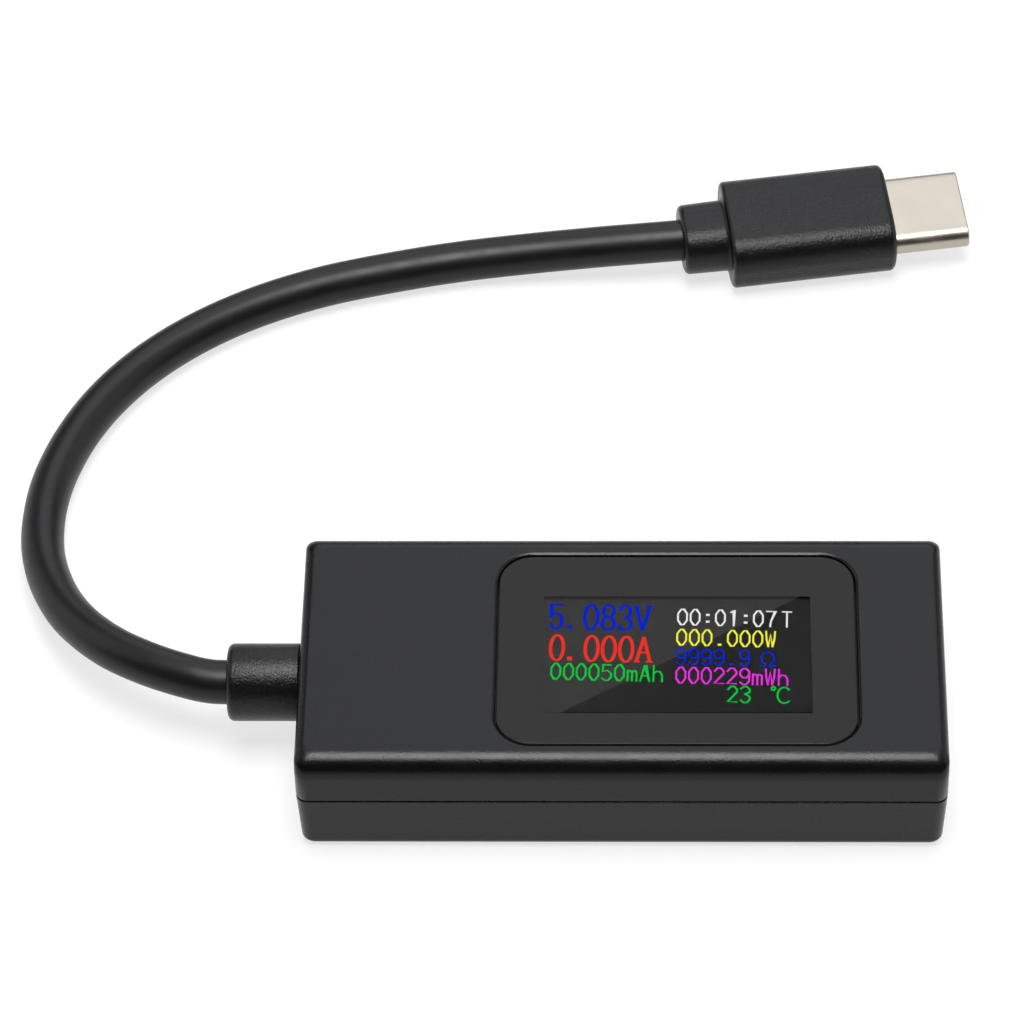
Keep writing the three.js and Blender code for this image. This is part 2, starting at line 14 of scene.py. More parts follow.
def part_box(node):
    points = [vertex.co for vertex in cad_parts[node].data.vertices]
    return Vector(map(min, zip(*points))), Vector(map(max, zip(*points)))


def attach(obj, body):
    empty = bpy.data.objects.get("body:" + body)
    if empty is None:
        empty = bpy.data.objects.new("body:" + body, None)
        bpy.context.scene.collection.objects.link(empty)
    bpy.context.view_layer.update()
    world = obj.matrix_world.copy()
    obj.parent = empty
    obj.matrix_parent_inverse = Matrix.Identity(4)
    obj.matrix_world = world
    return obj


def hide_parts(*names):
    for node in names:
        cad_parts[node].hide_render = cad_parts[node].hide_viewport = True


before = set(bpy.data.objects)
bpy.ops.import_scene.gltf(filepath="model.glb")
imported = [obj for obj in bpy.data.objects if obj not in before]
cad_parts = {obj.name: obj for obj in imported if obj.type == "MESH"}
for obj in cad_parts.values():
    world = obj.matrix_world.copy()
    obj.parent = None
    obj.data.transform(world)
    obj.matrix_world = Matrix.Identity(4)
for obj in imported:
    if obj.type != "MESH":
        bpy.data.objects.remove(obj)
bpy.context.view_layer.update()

MM = 0.001
scene = bpy.context.scene


def cad_box(node):
    """A CAD node's lowest and highest corners, in millimetres."""
    low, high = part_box(node)
    return low / MM, high / MM


# Driving dimensions, from the frame where it gives them

SHELL_LOW, SHELL_HIGH = cad_box("bottom_shell")
TOP_HIGH = cad_box("top_shell")[1]
LENGTH = SHELL_HIGH.x - SHELL_LOW.x
WIDTH = SHELL_HIGH.y - SHELL_LOW.y
HEIGHT = TOP_HIGH.z
END_X = LENGTH / 2
SIDE_Y = WIDTH / 2
PARTING = 6.5
PARTING_GAP = 0.18
WALL = 1.6
FLOOR = 1.3
ROOF = 1.5
LONG_EDGE_RADIUS = 2.0
END_EDGE_RADIUS = 0.9
BASE_RADIUS = 1.0
PLAN_RADIUS = 1.0
BASE_TAPER = math.radians(2.5)

WINDOW_LOW, WINDOW_HIGH = cad_box("display_window")
WINDOW_CENTRE = (WINDOW_LOW + WINDOW_HIGH) / 2
WINDOW_SIZE = WINDOW_HIGH - WINDOW_LOW
WINDOW_RADIUS = 3.0
WINDOW_GROOVE = 0.2
WINDOW_GROWTH = 0.05
PANEL_LOW, PANEL_HIGH = cad_box("lcd_panel")
PANEL_CENTRE = (PANEL_LOW + PANEL_HIGH) / 2
PANEL_SIZE = PANEL_HIGH - PANEL_LOW
# The display's face lies close under the window's printed border, which then hides none of the
# readout in slanting views.
DISPLAY_TOP = WINDOW_HIGH.z - 0.2
SCREEN_X = 4.79
SCREEN_Y = -0.74
SCREEN_LENGTH = 23.2
SCREEN_WIDTH = 13.2
READOUT_Y = -0.77
READOUT_TILT = math.radians(-1.7)

TUBE_WALL = 0.3
SOCKET_WIDTH = 8.94
SOCKET_HEIGHT = 3.2
BUTTON_LENGTH = 6.0
BUTTON_HEIGHT = 3.0
OPENING_CLEARANCE = 0.16
LEAD_HOLE_RADIUS = 2.5

CORD_RADIUS = 1.95
RELIEF_RADIUS = 3.4

PLUG_X = 5.3
PLUG_Y = 57.16
PLUG_YAW = math.radians(8.8)
PLUG_ROLL = math.radians(8.8)
GRIP_WIDTH = 10.45
GRIP_THICKNESS = 6.2
GRIP_RADIUS = 2.5
PLUG_Z = (
    GRIP_RADIUS
    + (GRIP_WIDTH / 2 - GRIP_RADIUS) * math.sin(PLUG_ROLL)
    + (GRIP_THICKNESS / 2 - GRIP_RADIUS) * math.cos(PLUG_ROLL)
)
COLLAR_LENGTH = 4.3
GRIP_FRONT = 19.95
PLUG_TIP = 27.05
PLUG_SHELL_WIDTH = 8.25
PLUG_SHELL_HEIGHT = 2.4

SMOOTH_BELOW = math.radians(32.0)

CORD_ROUTE = [
    (-34.65, 0.0, 6.5),
    (-36.0, 0.1, 6.5),
    (-37.9, 0.6, 6.5),
    (-41.47, 2.18, 6.3),
    (-45.31, 4.88, 5.65),
    (-48.71, 8.91, 4.5),
    (-51.01, 13.45, 3.4),
    (-52.41, 18.4, 2.55),
    (-52.73, 23.43, 2.1),
    (-52.11, 28.36, 1.97),
    (-50.4, 33.6, 1.95),
    (-47.78, 38.47, 1.95),
    (-44.27, 42.85, 1.95),
    (-39.79, 46.77, 1.95),
    (-34.59, 50.0, 1.95),
    (-28.67, 52.56, 1.95),
    (-22.37, 54.38, 1.95),
    (-15.79, 55.79, 2.02),
    (-9.01, 56.45, 2.45),
    (-2.4, 56.7, 3.08),
    (1.38, 56.83, 3.38),
    (5.0, 57.11, 3.51),
]


# Camera


def add_camera():
    """A long lens over the case's near long side, a little to its right and rolled slightly."""
    azimuth, elevation, roll = (math.radians(a) for a in (2.41, 48.23, -1.81))
    aim = Vector((-10.22, 25.74, 0.0))
    distance = 484.3
    forward = Vector((
        -math.sin(azimuth) * math.cos(elevation),
        math.cos(azimuth) * math.cos(elevation),
        -math.sin(elevation),
    ))
    level = forward.cross(Vector((0, 0, 1))).normalized()
    rise = level.cross(forward)
    right = level * math.cos(roll) + rise * math.sin(roll)
    up = rise * math.cos(roll) - level * math.sin(roll)
    data = bpy.data.cameras.new("camera")
    data.lens = 186.13
    data.sensor_width = 36.0
    data.clip_start = 0.01
    camera = bpy.data.objects.new("camera", data)
    matrix = Matrix((right, up, -forward)).transposed().to_4x4()
    matrix.translation = (aim - forward * distance) * MM
    camera.matrix_world = matrix
    scene.collection.objects.link(camera)
    scene.camera = camera


# Materials


def srgb(red, green, blue):
    """A display colour, 0 to 255 a channel, as linear light."""
    def linear(value):
        value /= 255
        return value / 12.92 if value <= 0.04045 else ((value + 0.055) / 1.055) ** 2.4
    return (linear(red), linear(green), linear(blue), 1.0)


def grey(value, tint=(1.0, 1.0, 1.0)):
    return tuple(value * t for t in tint) + (1.0,)


class Surface:
    """A Principled material with its texture coordinates in millimetres."""

    def __init__(self, name, **plain):
        self.material = bpy.data.materials.new(name)
        self.material.use_nodes = True
        self.nodes = self.material.node_tree.nodes
        self.links = self.material.node_tree.links
        self.shader = self.nodes["Principled BSDF"]
        for socket, value in plain.items():
            self.shader.inputs[socket.replace("_", " ")].default_value = value
        coordinates = self.nodes.new("ShaderNodeTexCoord")
        self.position = self.node("ShaderNodeVectorMath", operation="SCALE")
        self.links.new(coordinates.outputs["Object"], self.position.inputs[0])
        self.position.inputs["Scale"].default_value = 1 / MM
        self.normal = None

    def node(self, kind, **settings):
        made = self.nodes.new(kind)
        for name, value in settings.items():
            setattr(made, name, value)
        return made

    def stretched(self, scales):
        node = self.node("ShaderNodeVectorMath", operation="MULTIPLY")
        self.links.new(self.position.outputs[0], node.inputs[0])
        node.inputs[1].default_value = scales
        return node.outputs[0]

    def noise(self, size, detail=2.0, roughness=0.5, scales=None):
        """Noise whose lumps are about size millimetres across."""
        node = self.node("ShaderNodeTexNoise")
        source = self.position.outputs[0] if scales is None else self.stretched(scales)
        self.links.new(source, node.inputs["Vector"])
        node.inputs["Scale"].default_value = 1 / size
        node.inputs["Detail"].default_value = detail
        node.inputs["Roughness"].default_value = roughness
        return node.outputs["Fac"]

    def remap(self, value, low, high, from_low=0.3, from_high=0.7):
        """A range of values, by default the one most noise falls in, spread over low to high."""
        node = self.node("ShaderNodeMapRange")
        self.links.new(value, node.inputs["Value"])
        node.inputs["From Min"].default_value = from_low
        node.inputs["From Max"].default_value = from_high
        node.inputs["To Min"].default_value = low
        node.inputs["To Max"].default_value = high
        return node.outputs["Result"]

    def blend(self, factor, first, second):
        node = self.node("ShaderNodeMix", data_type="RGBA")
        self.links.new(factor, node.inputs["Factor"])
        for socket, value in ((node.inputs[6], first), (node.inputs[7], second)):
            if isinstance(value, tuple):
                socket.default_value = value
            else:
                self.links.new(value, socket)
        return node.outputs[2]

    def colour(self, value):
        self.links.new(value, self.shader.inputs["Base Color"])

    def glow(self, value):
        self.links.new(value, self.shader.inputs["Emission Color"])
        self.shader.inputs["Emission Strength"].default_value = 1.0

    def roughness(self, value):
        self.links.new(value, self.shader.inputs["Roughness"])

    def bump(self, height, depth):
        """Adds relief of depth millimetres, on top of any added before."""
        node = self.node("ShaderNodeBump")
        node.inputs["Strength"].default_value = 1.0
        node.inputs["Distance"].default_value = depth * MM
        self.links.new(height, node.inputs["Height"])
        if self.normal is not None:
            self.links.new(self.normal, node.inputs["Normal"])
        self.normal = node.outputs["Normal"]
        self.links.new(self.normal, self.shader.inputs["Normal"])


def case_plastic():
    """Black ABS with a fine satin spark-eroded grain."""
    surface = Surface("case_plastic", IOR=1.34)
    drift = surface.noise(9.0, 3.0)
    surface.colour(surface.blend(drift, grey(0.0028), grey(0.0042, (1.0, 1.0, 1.03))))
    surface.roughness(surface.remap(surface.noise(3.0, 4.0), 0.24, 0.3))
    surface.bump(surface.noise(1.6, 2.0), 0.006)
    surface.bump(surface.noise(0.22, 3.0, 0.7), 0.02)
    return surface.material


def grained_rubber():
    """Black moulded PVC with a coarse grain, of the strain relief and the plug's grip."""
    surface = Surface("grained_rubber", IOR=1.35)
    surface.colour(surface.blend(surface.noise(2.5, 3.0), grey(0.003), grey(0.006)))
    surface.roughness(surface.remap(surface.noise(0.5, 3.0), 0.27, 0.36))
    surface.bump(surface.noise(0.2, 2.0, 0.65), 0.048)
    return surface.material


def cord_jacket():
    """Smooth matt black PVC, very slightly uneven."""
    surface = Surface("cord_jacket", IOR=1.385)
    surface.colour(surface.blend(surface.noise(6.0, 3.0), grey(0.003), grey(0.006)))
    surface.roughness(surface.remap(surface.noise(1.2, 4.0), 0.36, 0.44))
    surface.bump(surface.noise(2.2, 2.0), 0.01)
    surface.bump(surface.noise(0.1, 2.0), 0.0012)
    return surface.material


def nickel(name, value, tint, roughness):
    """Satin nickel plating with faint drawing lines and smudges."""
    surface = Surface(name, Metallic=1.0)
    smudge = surface.noise(2.2, 4.0, 0.6)
    surface.colour(surface.blend(smudge, grey(value * 0.93, tint), grey(value * 1.04, tint)))
    lines = surface.noise(0.05, scales=(0.04, 1.0, 1.0))
    surface.roughness(surface.remap(smudge, roughness, roughness + 0.1))
    surface.bump(lines, 0.0006)
    surface.bump(surface.noise(0.9, 3.0), 0.002)
    return surface.material


def lens_clear():
    """Clear, lightly smoked acrylic over the display, whose own face carries the window's gloss."""
    return Surface(
        "lens_clear",
        Base_Color=(0.945, 0.94, 0.916, 1.0),
        Roughness=0.0,
        IOR=1.01,
        Transmission_Weight=1.0,
    ).material


def window_ink():
    """Smooth printed border of the window: dark warm grey with a faint screen-print mottle."""
    surface = Surface("window_ink", IOR=1.2)
    surface.colour(surface.blend(surface.noise(0.4, 3.0), grey(0.0168), grey(0.0192)))
    surface.roughness(surface.remap(surface.noise(2.0, 2.0), 0.16, 0.22))
    return surface.material


def display_glass():
    """The display's glossy face: glowing pale above a diagonal as a painted reflection of a lamp's
    edge, and dark below it with only a faint backlight glow.
    """
    surface = Surface("display_glass", IOR=1.228, Roughness=0.2)
    low = Vector((-5.2, -7.14, 0))
    high = Vector((15.6, 6.06, 0))
    reflection_edge_softness = 0.03
    along = (high - low).normalized()
    across = Vector((along.y, -along.x, 0))
    offset = across.dot(low)
    reflection_split = surface.node("ShaderNodeVectorMath", operation="DOT_PRODUCT")
    surface.links.new(surface.position.outputs[0], reflection_split.inputs[0])
    reflection_split.inputs[1].default_value = across
    side = surface.remap(
        reflection_split.outputs["Value"], 0.0, 1.0, offset - reflection_edge_softness, offset + reflection_edge_softness
    )
    # Painted reflection: the glow above the diagonal stands in for a lamp's edge mirrored in the
    # glass; below it is faint backlight glow.
    surface.glow(surface.blend(side, grey(0.0247), grey(0.002)))
    surface.colour(surface.blend(surface.noise(0.3), grey(0.001), grey(0.002)))
    return surface.material


def dimmed(colour, share):
    return tuple(channel * share for channel in colour[:3]) + (1.0,)


def lit_dots(name, colour):
    """Glowing display dots, a little darker between their rows."""
    surface = Surface(name, Roughness=0.5)
    surface.shader.inputs["Base Color"].default_value = dimmed(colour, 0.05)
    surface.shader.inputs["Specular IOR Level"].default_value = 0.0
    dots = surface.node("ShaderNodeTexWave", wave_type="BANDS", bands_direction="Y")
    surface.links.new(surface.position.outputs[0], dots.inputs["Vector"])
    dots.inputs["Scale"].default_value = 2.3
    surface.glow(surface.blend(dots.outputs["Fac"], dimmed(colour, 0.86), colour))
    return surface.material


def moulded(name, first, second, roughness=0.5, grain=0.15, depth=0.004, **plain):
    """A moulded, pressed or coated surface with fine grain and slight colour drift."""
    surface = Surface(name, **plain)
    surface.colour(surface.blend(surface.noise(1.5, 3.0), first, second))
    surface.roughness(surface.remap(surface.noise(0.6, 3.0), roughness - 0.05, roughness + 0.07))
    surface.bump(surface.noise(grain, 2.0), depth)
    return surface.material


def circuit_board():
    """Green solder mask over copper tracks and pads."""
    surface = Surface("circuit_board", IOR=1.5)
    tracks = surface.node("ShaderNodeTexBrick")
    surface.links.new(surface.position.outputs[0], tracks.inputs["Vector"])
    tracks.inputs["Scale"].default_value = 0.7
    tracks.inputs["Mortar Size"].default_value = 0.06
    mask = srgb(14, 62, 34)
    over_copper = srgb(34, 96, 52)
    surface.colour(surface.blend(tracks.outputs["Fac"], mask, over_copper))
    surface.roughness(surface.remap(surface.noise(0.8, 3.0), 0.28, 0.4))
    surface.bump(tracks.outputs["Fac"], 0.02)
    return surface.material


# Meshes


def rounded_ring(half_x, half_y, radius, steps, centre_x=0.0, centre_y=0.0):
    """Points of a rounded rectangle, anticlockwise, as (x, y) pairs."""
    radius = min(radius, half_x - 1e-4, half_y - 1e-4)
    points = []
    for corner, (side_x, side_y) in enumerate(((1, 1), (-1, 1), (-1, -1), (1, -1))):
        for step in range(steps + 1):
            angle = (corner + step / steps) * math.pi / 2
            points.append((
                centre_x + side_x * (half_x - radius) + radius * math.cos(angle),
                centre_y + side_y * (half_y - radius) + radius * math.sin(angle),
            ))
    return points


def quarter(steps):
    """(sine, cosine) pairs from 0 to a right angle."""
    return [(math.sin(a), math.cos(a)) for a in (i / steps * math.pi / 2 for i in range(steps + 1))]


def lofted(rings):
    """A closed mesh through rings of equally many points, its first and last rings filled in."""
    bm = bmesh.new()
    rows = [[bm.verts.new(point) for point in ring] for ring in rings]
    count = len(rows[0])
    for low, high in zip(rows, rows[1:]):
        for i in range(count):
            j = (i + 1) % count
            bm.faces.new((low[i], low[j], high[j], high[i]))
    bm.faces.new(reversed(rows[0]))
    bm.faces.new(rows[-1])
    bmesh.ops.recalc_face_normals(bm, faces=bm.faces)
    return bm


def turned(profile, sides):
    """A mesh turned about the X axis from (x, radius) stations, the first and last on the axis."""
    bm = bmesh.new()
    rows = []
    for x, radius in profile:
        if radius == 0:
            rows.append([bm.verts.new((x, 0, 0))] * sides)
            continue
        turn = [2 * math.pi * i / sides for i in range(sides)]
        rows.append([bm.verts.new((x, radius * math.cos(a), radius * math.sin(a))) for a in turn])
    for low, high in zip(rows, rows[1:]):
        for i in range(sides):
            j = (i + 1) % sides
            corners = dict.fromkeys((low[i], low[j], high[j], high[i]))
            bm.faces.new(list(corners))
    bmesh.ops.recalc_face_normals(bm, faces=bm.faces)
    return bm


def level_ring(points, z):
    return [(x, y, z) for x, y in points]


def upright_ring(points, x):
    """A ring across the X axis: its own first direction is +Y, and its second +Z."""
    return [(x, y, z) for y, z in points]


def side_ring(points, y):
    """A ring across the Y axis: its own first direction is +X, and its second +Z."""
    return [(x, y, z) for x, z in points]


def place(bm, matrix):
    bmesh.ops.transform(bm, matrix=matrix, verts=bm.verts)
    return bm


def make(name, bm, material):
    """A piece from a mesh in millimetres."""
    bmesh.ops.scale(bm, vec=(MM, MM, MM), verts=bm.verts)
    mesh = bpy.data.meshes.new(name)
    bm.to_mesh(mesh)
    bm.free()
    mesh.materials.append(material)
    piece = bpy.data.objects.new(name, mesh)
    scene.collection.objects.link(piece)
    soften(piece)
    return piece


def soften(piece):
    """Shades a piece smooth, but for its sharp edges."""
    piece.data.shade_smooth()
    piece.data.set_sharp_from_angle(angle=SMOOTH_BELOW)


def bake_modifiers(piece):
    graph = bpy.context.evaluated_depsgraph_get()
    baked = bpy.data.meshes.new_from_object(piece.evaluated_get(graph))
    old = piece.data
    piece.modifiers.clear()
    piece.data = baked
    bpy.data.meshes.remove(old)


def carve(piece, tools, operation="DIFFERENCE"):
    """Cuts piece by meshes in millimetres, or joins them to it."""
    for bm in tools:
        tool = make("tool", bm, piece.data.materials[0])
        modifier = piece.modifiers.new("carve", "BOOLEAN")
        modifier.operation = operation
        modifier.solver = "EXACT"
        modifier.object = tool
        bpy.context.view_layer.update()
        bake_modifiers(piece)
        bpy.data.objects.remove(tool)
    soften(piece)
    return piece


def weight_normals(piece):
    """Keeps large flat faces flat next to their rounded edges."""
    modifier = piece.modifiers.new("weighted", "WEIGHTED_NORMAL")
    modifier.keep_sharp = True
    modifier.weight = 100
    bake_modifiers(piece)
    return piece


def mount(piece, nodes, body="meter"):
    """Hides the CAD nodes a piece replaces and attaches the piece to the body it rides on."""
    if nodes:
        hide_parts(*nodes)
    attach(piece, body)
    return piece


# Case


def case_ring(z, inset=0.0):
    """The case's outline at height z, drawn in by inset."""
    in_x = in_y = inset
    if z < PARTING:
        taper = (PARTING - z) * math.tan(BASE_TAPER)
        in_x += taper
        in_y += taper
    if z < BASE_RADIUS:
        base = BASE_RADIUS - math.sqrt(max(0.0, BASE_RADIUS**2 - (BASE_RADIUS - z) ** 2))
        in_x += base
        in_y += base
    if z > HEIGHT - LONG_EDGE_RADIUS:
        rise = z - (HEIGHT - LONG_EDGE_RADIUS)
        in_y += LONG_EDGE_RADIUS - math.sqrt(max(0.0, LONG_EDGE_RADIUS**2 - rise**2))
    if z > HEIGHT - END_EDGE_RADIUS:
        rise = z - (HEIGHT - END_EDGE_RADIUS)
        in_x += END_EDGE_RADIUS - math.sqrt(max(0.0, END_EDGE_RADIUS**2 - rise**2))
    return level_ring(rounded_ring(END_X - in_x, SIDE_Y - in_y, PLAN_RADIUS, 10), z)


def rim_rings(z, direction):
    """Rings of a rim at height z whose outer edge is rounded, in order away from the rim."""
    softness = 0.07
    return [
        case_ring(z + direction * softness * (1 - cosine), softness * (1 - sine))
        for sine, cosine in quarter(3)
    ]


def inset_block(inset, z0, z1):
    """A block as wide and long as the case less inset, between two heights."""
    ring = rounded_ring(END_X - inset, SIDE_Y - inset, 0.6, 4)
    return lofted([level_ring(ring, z0), level_ring(ring, z1)])


def flared(ring_at, start, stop, lip):
    """A cutter from start to stop, opening out near stop by the lip's (depth, reach) pairs."""
    direction = 1 if stop > start else -1
    rings = [ring_at(start, 0.0)]
    rings += [ring_at(stop - direction * depth, reach) for depth, reach in lip]
    rings.append(ring_at(stop + direction, lip[-1][1]))
    return lofted(rings)


def round_lip(radius):
    return [(radius * (1 - sine), radius * (1 - cosine)) for sine, cosine in quarter(4)]


def wall_openings():
    """Cutters for the lead's hole and the socket's and button's slots, their mouths rounded."""
    slot_y = SOCKET_WIDTH / 2 + OPENING_CLEARANCE
    slot_z = SOCKET_HEIGHT / 2 + OPENING_CLEARANCE
    button_x = button_centre()
    button_half_x = BUTTON_LENGTH / 2 + OPENING_CLEARANCE
    button_half_z = BUTTON_HEIGHT / 2 + OPENING_CLEARANCE
    button_radius = 1.3
    cut = 3

    def hole(x, grow):
        reach = LEAD_HOLE_RADIUS + grow
        return upright_ring(rounded_ring(reach, reach, reach, 10, 0.0, PARTING), x)

    def socket(x, grow):
        half_z = slot_z + grow
        return upright_ring(rounded_ring(slot_y + grow, half_z, half_z, 10, 0.0, PARTING), x)

    def button(y, grow):
        half_x = button_half_x + grow
        half_z = button_half_z + grow
        return side_ring(
            rounded_ring(half_x, half_z, button_radius + grow, 8, button_x, PARTING), y
        )

    return [
        flared(hole, -END_X + cut, -END_X, round_lip(0.1)),
        flared(socket, END_X - cut, END_X, round_lip(0.25)),
        flared(button, SIDE_Y - cut, SIDE_Y, round_lip(0.15)),
    ]


def button_centre():
    low, high = cad_box("button_cap")
    return (low.x + high.x) / 2


def window_ring(grow, z, steps, radius):
    """The display window's outline at height z, larger by grow."""
    points = rounded_ring(
        WINDOW_SIZE.x / 2 + grow,
        WINDOW_SIZE.y / 2 + grow,
        radius,
        steps,
        WINDOW_CENTRE.x,
        WINDOW_CENTRE.y,
    )
    return level_ring(points, z)


def panel_ring(grow_x, grow_y, radius, steps, z):
    """The display panel's outline at height z, larger by the given amounts."""
    points = rounded_ring(
        PANEL_SIZE.x / 2 + grow_x,
        PANEL_SIZE.y / 2 + grow_y,
        radius,
        steps,
        PANEL_CENTRE.x,
        PANEL_CENTRE.y,
    )
    return level_ring(points, z)


def add_top_shell(material):
    """The upper half, with a pocket for the window and a rib round the display inside."""
    edge_low = HEIGHT - LONG_EDGE_RADIUS
    frame_low = HEIGHT - 2.0
    frame_wall = 1.0
    rings = rim_rings(PARTING + PARTING_GAP / 2, 1)
    rings.append(case_ring(edge_low))
    for sine, _ in quarter(26)[1:]:
        rings.append(case_ring(HEIGHT - LONG_EDGE_RADIUS * (1 - sine)))
    shell = make("top_shell_moulding", lofted(rings), material)
    carve(shell, [inset_block(WALL, 0.0, HEIGHT - ROOF)])

    def around(z):
        return window_ring(frame_wall, z, 10, WINDOW_RADIUS + frame_wall)

    carve(shell, [lofted([around(frame_low), around(HEIGHT - ROOF + 0.4)])], "UNION")

    def pocket(z, grow):
        reach = WINDOW_GROOVE + grow
        return window_ring(reach, z, 16, WINDOW_RADIUS + reach)

    def opening(z):
        return panel_ring(0.3, 0.4, 0.5, 3, z)

    soft_chamfer = [
        (0.15, 0.0), (0.11, 0.01), (0.085, 0.03), (0.015, 0.19), (0.004, 0.215), (0.0, 0.24)
    ]
    carve(shell, [
        flared(pocket, PANEL_HIGH.z, HEIGHT, soft_chamfer),
        lofted([opening(frame_low - 1), opening(HEIGHT + 1)]),
        *wall_openings(),
    ])
    weight_normals(shell)
    return mount(shell, ["top_shell"])


def add_bottom_shell(material):
    """The lower half, with a tongue along its rim that goes up inside the upper half."""
    rim = PARTING - PARTING_GAP / 2
    tongue_wall = 0.65
    tongue_height = 0.9
    rings = [case_ring(BASE_RADIUS * (1 - sine)) for sine, _ in reversed(quarter(9))]
    rings += list(reversed(rim_rings(rim, -1)))
    shell = make("bottom_shell_moulding", lofted(rings), material)
    carve(shell, [inset_block(WALL - tongue_wall, rim - 1, rim + tongue_height)], "UNION")
    carve(shell, [inset_block(WALL, FLOOR, HEIGHT), *wall_openings()])
    weight_normals(shell)
    return mount(shell, ["bottom_shell"])


# Window and display


def add_window(clear, ink):
    """A printed cap with the screen's opening in its thin top, over a clear lens."""
    edge = 0.12
    skirt = 0.35
    skin = 0.03
    gap = 0.005
    display_gap = 0.03
    top = WINDOW_HIGH.z
    low = WINDOW_LOW.z

    def ring(inset, z):
        return window_ring(WINDOW_GROWTH - inset, z, 16, WINDOW_RADIUS - inset)

    rings = [ring(0.0, low)]
    rings += [ring(edge * (1 - cosine), top - edge * (1 - sine)) for sine, cosine in quarter(4)]
    cap = make("window_border", lofted(rings), ink)
    hole = rounded_ring(SCREEN_LENGTH / 2, SCREEN_WIDTH / 2, 0.15, 3, SCREEN_X, SCREEN_Y)
    opening = lofted([level_ring(hole, top - 1), level_ring(hole, top + 1)])
    hollow = lofted([ring(skirt, low - 1), ring(skirt, top - skin)])
    carve(cap, [hollow, opening])
    weight_normals(cap)
    mount(cap, ["display_window"])

    def panel(z):
        return panel_ring(0.05, 0.05, 0.3, 4, z)

    lens_rings = [ring(skirt + gap, low), ring(skirt + gap, top - skin - gap)]
    lens = make("window_lens", lofted(lens_rings), clear)
    carve(lens, [lofted([panel(low - 1), panel(DISPLAY_TOP + display_gap)])])
    return mount(lens, [])


def add_panel(glass):
    edge = 0.06

    def ring(inset, z):
        return panel_ring(-inset, -inset, 0.3, 4, z)

    rings = [ring(0.0, PANEL_LOW.z), ring(0.0, DISPLAY_TOP - edge), ring(edge, DISPLAY_TOP)]
    return mount(make("display_panel", lofted(rings), glass), ["lcd_panel"])


# Readout. A character is a list of strokes in a cell one wide and one high, with its foot at 0.


def arc(centre_x, centre_y, radius_x, radius_y, start, stop, steps):
    """Points of an ellipse's arc between two angles in degrees."""
    turn = [math.radians(start + (stop - start) * i / steps) for i in range(steps + 1)]
    return [(centre_x + radius_x * math.cos(a), centre_y + radius_y * math.sin(a)) for a in turn]


OVAL = [(0, 0.28), (0, 0.72), (0.36, 1), (0.64, 1), (1, 0.72),
        (1, 0.28), (0.64, 0), (0.36, 0), (0, 0.28)]
SMALL_FONT = {
    "0": [OVAL],
    "1": [[(0.25, 0.86), (0.6, 1), (0.6, 0)]],
    "2": [[(0, 0.8), (0.3, 1), (0.7, 1), (1, 0.8), (1, 0.66), (0, 0.03), (1, 0.03)]],
    "3": [[(0, 0.86), (0.32, 1), (0.7, 1), (1, 0.82), (1, 0.68), (0.5, 0.53),
           (1, 0.38), (1, 0.18), (0.68, 0), (0.32, 0), (0, 0.15)]],
    "5": [[(0.95, 0.98), (0.08, 0.98), (0.04, 0.55), (0.6, 0.62), (1, 0.44), (1, 0.2),
           (0.68, 0), (0.32, 0), (0, 0.13)]],
    "7": [[(0, 0.98), (0.97, 0.98), (0.5, 0.35), (0.42, 0)]],
    "9": [[(1, 0.62), (0.68, 0.42), (0.32, 0.42), (0, 0.6), (0, 0.82), (0.32, 1), (0.68, 1),
           (1, 0.82), (1, 0.2), (0.68, 0), (0.32, 0), (0.02, 0.13)]],
    ".": [[(0.36, 0.04), (0.64, 0.04)], [(0.36, 0.1), (0.64, 0.1)]],
    ":": [[(0.36, 0.2), (0.64, 0.2)], [(0.36, 0.26), (0.64, 0.26)], [(0.36, 0.64), (0.64, 0.64)],
          [(0.36, 0.7), (0.64, 0.7)]],
    "T": [[(0.36, 0.98), (1.36, 0.98)], [(0.86, 0.98), (0.86, 0)]],
    "W": [[(0, 1), (0.06, 0.5), (0.26, 0.02)], [(0.26, 0.02), (0.5, 0.8), (0.74, 0.02)],
          [(0.74, 0.02), (0.94, 0.5), (1, 1)]],
    "m": [[(0, 0), (0, 0.66)], [(0, 0.5), (0.2, 0.66), (0.42, 0.62), (0.5, 0.46), (0.5, 0)],
          [(0.5, 0.5), (0.7, 0.66), (0.92, 0.62), (1, 0.46), (1, 0)]],
    "A": [[(0, 0), (0.46, 1), (0.54, 1), (1, 0)], [(0.2, 0.34), (0.8, 0.34)]],
    "h": [[(0.05, 0), (0.05, 1)], [(0.05, 0.48), (0.35, 0.64), (0.75, 0.62), (1, 0.4), (1, 0)]],
    "O": [[(-0.6, 0.02), (0.02, 0.02), (0.02, 0.14)], arc(0.27, 0.5, 0.72, 0.4, 244, -64, 18),
          [(0.52, 0.14), (0.52, 0.02), (1.14, 0.02)]],
    "C": [arc(0.85, 0.46, 0.75, 0.5, 44, 316, 16), arc(-0.36, 0.88, 0.2, 0.12, 0, 360, 10)],
}
